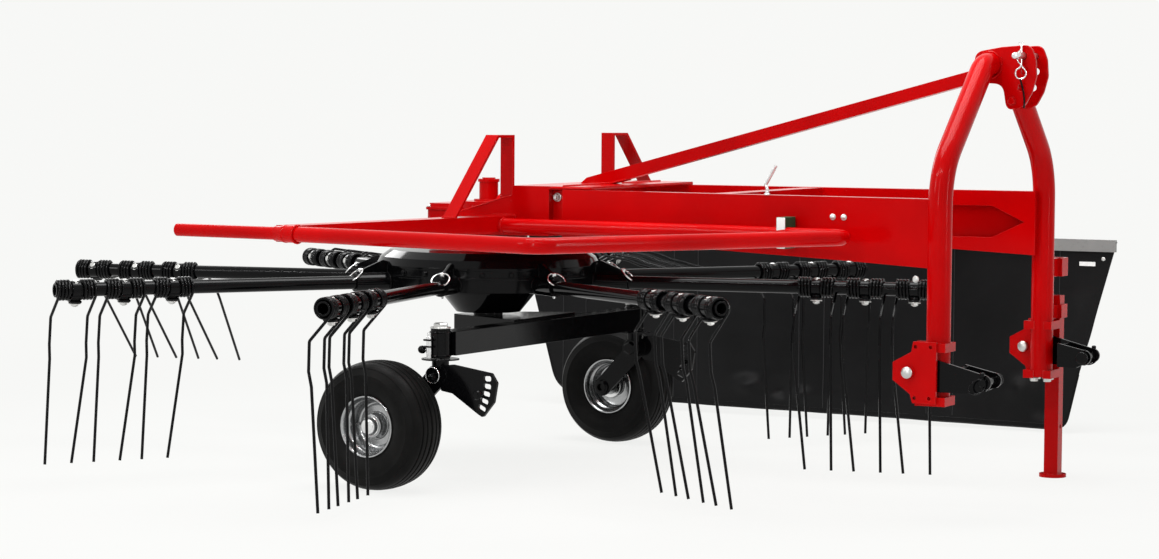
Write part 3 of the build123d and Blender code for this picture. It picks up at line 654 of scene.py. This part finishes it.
# ---------------------------------------------------------------- rotor hub hardware
GUSSET_FOOT, GUSSET_HEEL, SOCKET_SEAM_R = (341, 436), 339.5, 28  # distances out from the axis, and a radius
LYNCH_AT, SKIRT_R = 426, 336
DRUM_BOLTS, DRUM_BOLT_R, DRUM_TOP = 12, 112, 673.0
hub_welds, hub_bolts, skirt_bolts, arm_pins = Form(), Form(), Form(), Form()
for number in range(len(LIFTS)):
    azimuth, out, travel = arm_axes(number)
    root = Vector((0, 0, ARM_Z))
    for way in (-1, 1):
        beside = root + travel * (way * 4.6)
        hub_welds.weld([beside + Vector((0, 0, 26.5)) + out * x for x in GUSSET_FOOT], 4.6, number * 2 + way)
        hub_welds.weld([beside + out * GUSSET_HEEL + Vector((0, 0, z)) for z in (28, 46)], 4.0, number)
    hub_welds.weld(ring_about(root + out * 338, travel, UP, SOCKET_SEAM_R, 12, range(-3, 16)), 5.2, 40 + number)
    for offset in (15.3, 29.7):
        turn = azimuth + radians(offset)
        normal = Vector((cos(turn), sin(turn), 0))
        place = facing(Vector((0, 0, 593.5)) + normal * SKIRT_R, normal, UP)
        skirt_bolts.bolt(place, 13, 5.5, washer=9.5, thick=1.6)
    ring_pin(arm_pins, root + out * LYNCH_AT + Vector((0, 0, 29)), 62, 4.6, 27,
             out * 16 - Vector((0, 0, 14)), azimuth + pi / 2)
for k in range(DRUM_BOLTS):
    turn = 2 * pi * k / DRUM_BOLTS
    place = facing((DRUM_BOLT_R * cos(turn), DRUM_BOLT_R * sin(turn), DRUM_TOP), UP)
    hub_bolts.bolt(place, 17, 7, washer=12)
piece("hub_welds", hub_welds, BLACK, "rotor")
piece("hub_bolts", hub_bolts, ZINC, "rotor")
piece("skirt_bolts", skirt_bolts, BLACK, "rotor")
piece("arm_lynch_pins", arm_pins, BRIGHT, "rotor")

# ---------------------------------------------------------------- headstock hardware
EAR_FACE, EAR_THICK, BLOCK = 58, 12, 46
EAR = ((1556, 1165), (1562, 1249), (1640, 1263), (1722, 1269), (1737, 1228), (1740, 1182), (1728, 1138),
       (1706, 1098), (1655, 1086), (1643, 1160))
TOP_HOLES, TOP_HOLE_R = ((1701, 1238), (1705, 1196), (1697, 1151)), 9.8
ears = Form()
ear_holes = [circle(x, z, TOP_HOLE_R) for x, z in TOP_HOLES]
for way in (-1, 1):
    inner = way * (EAR_FACE - EAR_THICK / 2) + EAR_THICK / 2
    plate(ears, rounded(EAR, 30, 6, closed=True), ear_holes, EAR_THICK, upright(inner), 2.4)
ears.prism(rounded([(1566, 1240), (1634, 1240), (1634, 1176), (1566, 1176)], 5, 2, closed=True),
           -BLOCK, BLOCK, upright(0))
piece("top_link_ears", ears, RED, "frame", ["top_link_bracket"])

CLIP_Y = -74
clip = Form()
hairpin = [(1705, 1277), (1702, 1262), (1702, 1212), (1694, 1203)]
hairpin += [(1700 + 15.5 * cos(radians(a)), 1190 + 15.5 * sin(radians(a))) for a in range(125, 416, 22)]
hairpin += [(1695, 1219), (1687, 1232), (1690, 1246), (1700, 1254), (1701, 1262), (1695, 1275)]
clip.tube(rounded([(x, CLIP_Y, z) for x, z in hairpin], 5, 3), 2.3, 10)
clip.lathe([(9.4, 0), (9.4, 31), (8.2, 34), (5, 35), (0, 35)], facing((1701, -97.5, 1238), (0, -1, 0)), 32)
piece("top_pin_clip", clip, BRIGHT, "frame")

STRAP_ROUTE = ((1700, -76, 1174), (1706, -72, 1150), (1709, -63, 1120), (1707, -61, 1094))
STRAP_ACROSS, STRAP_LENGTH = 5.2, 81
line = bpy.data.curves.new("top_pin_strap", "CURVE")
line.dimensions, line.bevel_depth = "3D", STRAP_ACROSS / 2 * MM
line.bevel_resolution, line.use_fill_caps = 3, True
spline = line.splines.new("NURBS")
spline.points.add(len(STRAP_ROUTE) - 1)
for point, spot in zip(spline.points, STRAP_ROUTE):
    point.co = (*mm(*spot), 1)
spline.order_u, spline.use_endpoint_u = 3, True
strap = placed("top_pin_strap", line)
line.materials.append(BLACK[0])
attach(strap, "frame")

GUARD_CORNER, GUARD_RUN = Vector((24, -1191, 746)), Vector((870, -210, 0)).normalized()
CONSOLE_SIDE, BOOM_TOP = 351.5, 861
red_trim = Form()
for way in (-1, 1):
    line = [Vector((1606 + 34 * cos(a * pi / 14), way * (EAR_FACE + 1), 1213 + 36 * sin(a * pi / 14)))
            for a in range(29)]
    red_trim.weld(line, 7, 10 + way)
    red_trim.bolt(facing((1671, way * EAR_FACE, 1113), (0, way, 0)), 19, 8, washer=13)
    red_trim.weld([(1566, way * (BLOCK - 1), 1239), (1634, way * (BLOCK - 1), 1239)], 5, 17)
    # boom member to leg, side seams of the boom, and the neck plate
    red_trim.weld([(1577, way * LEG_Y - way * 24, z) for z in (668, 760, 848)], 6, 21)
    red_trim.weld([(420, way * y, BOOM_TOP) for y in (330, 60)], 5, 22)
    red_trim.weld([(519.5, way * y, 855) for y in (350, 40)], 4, 23)
    red_trim.weld([(389, way * CONSOLE_SIDE, 855.5), (517, way * 352, 855.5)], 5, 24)
    red_trim.weld([(345, way * 18.8, BOOM_TOP), (420, way * 18.8, 862), (470, way * 18.8, 874)], 5, 25)
    red_trim.weld([(61, way * 349.6, 771.5), (264, way * 349.6, 832)], 4, 26)
    red_trim.weld([(265, way * 349, 833), (265, way * 349, 859)], 4, 27)
red_trim.weld([(265, -345, 832.6), (265, 345, 832.6)], 5, 28)
# side arm and rack seams on each side of the console
for way, slant in ((-1, 0.262), (1, -0.25)):
    edge = way * CONSOLE_SIDE
    red_trim.weld([(204, edge, 729), (204, edge, 775), (276, edge, 775), (276, edge, 729)], 6, 30 + way)
    out = Vector((-slant, way, 0)).normalized()
    flat = Vector((out.y, -out.x, 0)) * way
    foot = Vector((240 + slant * 16, way * 334, 0))
    for s, z in ((-1, 826), (9, 822)):
        mid = foot + out * s
        red_trim.weld([mid - flat * 24 + Vector((0, 0, z + 7)), mid + flat * 24 + Vector((0, 0, z - 7))], 5, 33)
    tip = foot + out * 254 + Vector((0, 0, 773))
    red_trim.weld([tip - flat * 24, tip + flat * 24], 5, 35)
# guard: end seam on the side arm, sleeve seam at the arm's tip
front_end = Vector((264, -398.6, 746))
red_trim.weld([front_end + Vector((0, 21.6 * cos(a * pi / 12), 21.6 * sin(a * pi / 12))) for a in range(25)],
              6, 41)
ring_place = facing(GUARD_CORNER + GUARD_RUN * 45, GUARD_RUN)
red_trim.weld([ring_place @ p for p in level_ring(23.2, 0, 14)], 6.5, 42)
red_trim.lathe([(17.4, -37), (20.9, -34), (21.3, -14), (24.4, 0), (24.4, 5), (21.2, 7)],
               facing(GUARD_CORNER, GUARD_RUN), 32)
piece("red_seams", red_trim, RED, "frame")

# ---------------------------------------------------------------- bolts on the frame
CONSOLE_BOLT_Y, BRACKET_BOLT_Z, UNDER_BLOCK_Z = 322.4, 391, 302
frame_bolts = Form()
for way in (-1, 1):
    outward = (0, way, 0)
    for z in (828, 734):
        frame_bolts.nut(facing((398, way * CONSOLE_BOLT_Y, z), outward), 19, 9, 6, 5, washer=13)
        frame_bolts.bolt(facing((424, way * CONSOLE_BOLT_Y, z), outward), 15, 6, washer=11)
    for x in (1287, 1320):
        y = 357 + 79 * (x - 431) / 1165  # the boom's side, which spreads towards the legs
        frame_bolts.lathe([(8.6, 0), (9, 0.8), (8.4, 3.2), (5.5, 5), (0, 5.6)],
                          facing((x, way * y, 796), (0.068, way, 0)), 24)
    for y, face in ((LEG_Y + 73.5, 1), (LEG_Y + 12, -1)):
        frame_bolts.lathe([(15.5, 0), (16, 1), (16, 3), (14.8, 5.4), (9, 8.6), (0, 9.4)],
                          facing((1545, way * y, BRACKET_BOLT_Z), (0, way * face, 0)), 28)
    if way > 0:  # only the left bracket has bolts under its lower block
        for x in (1584, 1624):
            frame_bolts.bolt(facing((x, LEG_Y, UNDER_BLOCK_Z), -UP), 22, 9, washer=15)
            frame_bolts.bolt(facing((x, LEG_Y + 40, UNDER_BLOCK_Z), -UP), 13, 6, washer=9)
    frame_bolts.bolt(facing((1562, way * 507.5, 640), outward), 13, 5, washer=9)
piece("frame_bolts", frame_bolts, ZINC, "frame")

LID_BOLTS, LID_BOLT_R = 8, 104
gear_bolts = Form()
for k in range(LID_BOLTS):
    turn = 2 * pi * (k + 0.5) / LID_BOLTS
    gear_bolts.bolt(facing((LID_BOLT_R * cos(turn), LID_BOLT_R * sin(turn), 716.3), UP), 17, 8, washer=12)
for x in (-170, -124, -78):
    for y in (-62, 62):
        gear_bolts.bolt(facing((x, y, 780.4), UP), 13, 6, washer=9)
piece("gearbox_bolts", gear_bolts, ZINC, "frame")

# ---------------------------------------------------------------- hitch pins, guard clamp and handle
HITCH_X = 1748
for side, way in SIDES:
    pin = Form()
    pin.lathe([(0, -60), (9, -60), (10.8, -58), (10.8, 60), (17, 60.5), (18, 62), (18, 67), (16, 69), (0, 69)],
              facing((HITCH_X, way * LEG_Y, 371), (0, -way, 0)), 32)
    piece(f"{side}_hitch_pin", pin, BLACK, f"{side}_link")
    clip = Form()
    ring_pin(clip, (HITCH_X, way * 500, 386), 32, 4, 21, Vector((-12, way * 6, -32)), 0.35)
    piece(f"{side}_hitch_clip", clip, BLACK, f"{side}_link")
    plate_welds = Form()
    for y in (483.5, 408.5):
        plate_welds.weld([(1671, way * y, 345), (1671, way * y, 402)], 5, 51)
    piece(f"{side}_link_welds", plate_welds, BLACK, f"{side}_link")

CLAMP_AT, CLAMP_RUN, CLAMP_HALF = Vector((1163, -468, 751)), Vector((500, -68, 0)).normalized(), 13.5
clamp = Form()
for half, offset in ((oblong(43, 26, 4, 3), 14), (oblong(43, 9, 2, 2), 46)):
    place = facing(CLAMP_AT + Vector((0, offset, 0)), CLAMP_RUN, UP)
    clamp.prism(half, -CLAMP_HALF, CLAMP_HALF, place, 1.2)
piece("guard_clamp", clamp, GREEN, "frame")
face = Form().prism(oblong(42, 12.5, 3, 3), 0, 3.2,
                    facing(CLAMP_AT + Vector((-1, -12.4, 0)), (0, -1, 0), UP), 0.8)
piece("guard_clamp_face", face, LABEL, "frame")

GRIP_X, GRIP_Y, GRIP_Z = 1084, -396, 851
grip = Form()
route = [(GRIP_X + ahead, GRIP_Y, GRIP_Z + rise) for ahead, rise in ((0, 0), (0, 15), (-4, 29), (26, 81))]
grip.tube(rounded(route, 6), 4.8, 12)
grip.lathe([(9, 0), (9, 3), (6, 5), (6, 10), (0, 11)], facing((GRIP_X, GRIP_Y, GRIP_Z), UP), 24)
piece("sleeve_lock_handle", grip, BRIGHT, "frame")


# ---------------------------------------------------------------- swath curtain
CURTAIN_Y, CURTAIN_TOP, CLOTH_THICK = 1660, 648, 2.4
HEAD_REAR, HEAD_LENGTH = -773, 2244
BAR_X, BAR_HALF = 920, 19
carrier = Form()
section = [(-BAR_HALF, -BAR_HALF), (BAR_HALF, -BAR_HALF), (BAR_HALF, BAR_HALF), (-BAR_HALF, BAR_HALF)]
bar = rounded([(BAR_X, y, z) for y, z in ((-120, 824), (500, 824), (600, 742), (1624, 742))], 60, 5)
for k, point in enumerate(bar):
    ahead = (bar[min(k + 1, len(bar) - 1)] - bar[max(k - 1, 0)]).normalized()
    up = Vector((1, 0, 0)).cross(ahead)
    carrier.points += [point + Vector((1, 0, 0)) * a + up * b for a, b in section]
for k in range(len(bar) - 1):
    for a in range(4):
        b = (a + 1) % 4
        carrier.faces.append([k * 4 + a, k * 4 + b, k * 4 + 4 + b, k * 4 + 4 + a])
carrier.faces += [[3, 2, 1, 0], [len(bar) * 4 - 4 + a for a in range(4)]]
hanger = [(875, 764), (965, 764), (965, 700), (940, 617), (900, 617), (875, 700)]
carrier.prism(rounded(hanger, 8, 3, closed=True), 0, 8, upright(1636))
piece("curtain_carrier_bar", carrier, RED, "curtain", ["curtain_carrier"], 30)

# Bulges in the cloth: place along and up, half width, half height, how far out
BUCKLES = ((150, 105, 56, 32, 22), (262, 98, 48, 28, -16), (345, 84, 42, 24, 16), (1144, 139, 48, 46, 22),
           (1232, 76, 40, 34, -16), (1340, 400, 40, 80, 12), (1392, 330, 30, 60, -8), (-400, 120, 80, 50, 6),
           (700, 62, 160, 28, 5), (480, 92, 70, 30, 5), (905, 88, 90, 34, -5), (60, 300, 160, 160, 4))
FALL_OFF = 2.718
SLACK_BELOW, SLACK_SPAN = 60, 600
hem_line = rounded([(-668, 277), (-603, 48), (-140, 32), (1212, 14), (1304, 14), (1346, 200)], 110, 10)


def along_line(line, share):
    """The point at a share of a line's length."""
    lengths = [(b - a).length for a, b in zip(line, line[1:])]
    left = share * sum(lengths)
    for a, length in zip(line, lengths):
        if left <= length:
            return a.lerp(line[line.index(a) + 1], left / length)
        left -= length
    return line[-1]


def hang(x, z):
    """How far the cloth stands out of its plane, towards the machine: slack grows towards the hem."""
    low = max(0.0, (CURTAIN_TOP - SLACK_BELOW - z) / SLACK_SPAN)
    out = low * (4.5 * sin(x / 148 + 0.8) + 2.5 * sin(x / 61 + z / 210)) + low * low * 3 * sin(x / 33 + 1.2)
    for bx, bz, wide, high, deep in BUCKLES:
        out += deep * FALL_OFF ** -(((x - bx) / wide) ** 2 + ((z - bz) / high) ** 2)
    return out


def on_cloth(x, z, lift=0.0):
    return Vector((x, CURTAIN_Y - hang(x, z) - lift, z))


ACROSS, DOWN = 260, 60  # cells of the cloth along and down
cloth, count = Form(), (ACROSS + 1) * (DOWN + 1)
for layer in (0, 1):
    for i in range(ACROSS + 1):
        foot = along_line(hem_line, i / ACROSS)
        head = Vector((HEAD_REAR + HEAD_LENGTH * i / ACROSS, CURTAIN_TOP))
        for j in range(DOWN + 1):
            p = head.lerp(foot, j / DOWN)
            cloth.points.append(on_cloth(p.x, p.y, -layer * CLOTH_THICK))
for i in range(ACROSS):
    for j in range(DOWN):
        a = i * (DOWN + 1) + j
        face = [a, a + 1, a + DOWN + 2, a + DOWN + 1]
        cloth.faces += [face, [count + k for k in reversed(face)]]
edge = [i * (DOWN + 1) for i in range(ACROSS + 1)] + [ACROSS * (DOWN + 1) + j for j in range(1, DOWN + 1)]
edge += [i * (DOWN + 1) + DOWN for i in range(ACROSS - 1, -1, -1)] + [j for j in range(DOWN - 1, 0, -1)]
for a, b in zip(edge, edge[1:] + edge[:1]):
    cloth.faces.append([b, a, count + a, count + b])
sheet = piece("hung_curtain", cloth, CLOTH, "curtain", ["swath_curtain"], 60)

SEAMS_AT, HEM_POINTS = (-584, -493, -143, -50, 338, 431, 812, 905, 1276), 200
seams = Form()
for x in SEAMS_AT:
    low = 78 if x < -400 else 50 if x < 0 else 42
    seams.tube([on_cloth(x, z, 0.8) for z in range(low, 646, 12)], 1.5, 6)
stitching = piece("curtain_seams", seams, SEAM_SHEEN, "curtain")
seams = Form()
for lift, radius in ((0.4, 2.4), (16, 1.0)):
    line = [along_line(hem_line, k / HEM_POINTS) for k in range(HEM_POINTS + 1)]
    seams.tube([on_cloth(p.x, p.y + (lift if lift > 1 else 0), 0.4) for p in line], radius, 6)
hems = piece("curtain_hems", seams, CLOTH, "curtain")
trim = Form()
trim.prism([(1343, 579), (1398, 579), (1398, 565), (1343, 565)], 0, 1.4,
           upright(CURTAIN_Y - hang(1370, 570) - 0.2), 0.3)
label = piece("curtain_blank_label", trim, LABEL, "curtain")
eyelets = Form()
for x, z in ((1425, 590), (-732, 606)):
    eyelets.lathe([(2.4, 0), (6.5, 0.4), (6.5, 1.4), (2.6, 2.2), (2.4, 0.6), (0, 0.6)],
                  facing(on_cloth(x, z), (0, -1, 0)), 20)
eyelets = piece("curtain_eyelets", eyelets, ZINC, "curtain")


# ---------------------------------------------------------------- camera, light and floor
YAW, PITCH, ROLL = 0.4636, 0.0615, 0.0067
EYE, LENS, SENSOR = (4323.5, -8028.4, 1123.6), 93.29, 36.0
ahead = Vector((-sin(YAW) * cos(PITCH), cos(YAW) * cos(PITCH), -sin(PITCH)))
level_right = Vector((cos(YAW), sin(YAW), 0))
level_up = level_right.cross(ahead)
right = level_right * cos(ROLL) + level_up * sin(ROLL)
camera = placed("camera", bpy.data.cameras.new("camera"))
camera.data.lens, camera.data.sensor_width = LENS, SENSOR
camera.data.clip_end = 100
camera.matrix_world = Matrix((right, right.cross(ahead), -ahead)).transposed().to_4x4()
camera.matrix_world.translation = mm(*EYE)
bpy.context.scene.camera = camera

BACKDROP, AMBIENT = (0.935, 0.938, 0.923, 1), 0.26
# Each lamp: name, place, aim, width, height, watts
LAMPS = (("overhead", (0.4, -0.2, 4.6), (0.1, 0.1, 0.4), 3.6, 2.4, 235),
         ("key", (-3.4, -5.6, 3.8), (0.2, 0, 0.6), 1.4, 1.8, 75),
         ("long_strip", (1.2, -6.6, 2.6), (0.8, 0, 0.7), 0.05, 3.6, 75),
         ("high_strip", (0.2, -3.6, 4.0), (0.2, 0, 0.7), 5.0, 0.06, 75),
         ("side_strip", (6.4, -1.0, 2.0), (0.8, 0, 0.6), 0.06, 3.2, 55),
         ("rim", (-5.5, 4.0, 3.6), (0, 0, 0.6), 1.6, 2.5, 80))
for name, spot, aim, width, height, watts in LAMPS:
    lamp = placed(name, bpy.data.lights.new(name, "AREA"))
    lamp.data.shape, lamp.data.size, lamp.data.size_y, lamp.data.energy = "RECTANGLE", width, height, watts
    lamp.matrix_world = (Vector(aim) - Vector(spot)).to_track_quat("-Z", "Y").to_matrix().to_4x4()
    lamp.matrix_world.translation = spot

world = bpy.data.worlds.new("studio")
bpy.context.scene.world = world
world.use_nodes = True
tree = world.node_tree
tree.nodes.clear()


def seen(tree):
    """1 for a ray that shows the backdrop: from the camera, a reflection or glass."""
    path = tree.nodes.new("ShaderNodeLightPath")
    value = path.outputs["Is Camera Ray"]
    for other in ("Is Glossy Ray", "Is Transmission Ray"):
        node = tree.nodes.new("ShaderNodeMath")
        node.operation = "MAXIMUM"
        tree.links.new(value, node.inputs[0])
        tree.links.new(path.outputs[other], node.inputs[1])
        value = node.outputs[0]
    return value


ambient, shown = tree.nodes.new("ShaderNodeBackground"), tree.nodes.new("ShaderNodeBackground")
ambient.inputs[0].default_value, ambient.inputs[1].default_value = (1, 1, 1, 1), AMBIENT
shown.inputs[0].default_value, shown.inputs[1].default_value = BACKDROP, 1.0
pick, output = tree.nodes.new("ShaderNodeMixShader"), tree.nodes.new("ShaderNodeOutputWorld")
tree.links.new(seen(tree), pick.inputs[0])
tree.links.new(ambient.outputs[0], pick.inputs[1])
tree.links.new(shown.outputs[0], pick.inputs[2])
tree.links.new(pick.outputs[0], output.inputs[0])

floor_mesh = bpy.data.meshes.new("floor")
REACH = 45
corners = [(-REACH, -REACH, 0), (REACH, -REACH, 0), (REACH, REACH, 0), (-REACH, REACH, 0)]
floor_mesh.from_pydata(corners, [], [(0, 1, 2, 3)])
floor = placed("floor", floor_mesh)
n = Nodes("floor_paper")
paper = [(0.3, (0.80, 0.803, 0.79, 1)), (0.7, (0.83, 0.833, 0.82, 1))]
n.set(Base_Color=n.ramp(n.noise(1.5, 3), paper), Roughness=0.9)
glow, blend = n.new("Emission"), n.new("MixShader")
glow.inputs["Color"].default_value = BACKDROP
away = n.new("VectorMath", operation="LENGTH")
n.link(n.place, away.inputs[0])
fade = n.ramp(n.math("MULTIPLY", away.outputs["Value"], 0.1), [(0.18, 0.90), (0.5, 1.0)], smooth=True)
n.link(n.math("MULTIPLY", seen(n.tree), fade), blend.inputs[0])
n.link(n.shader.outputs[0], blend.inputs[1])
n.link(glow.outputs[0], blend.inputs[2])
n.link(blend.outputs[0], n.out.inputs[0])
floor_mesh.materials.append(n.material)

bpy.context.scene.view_settings.view_transform = "Standard"
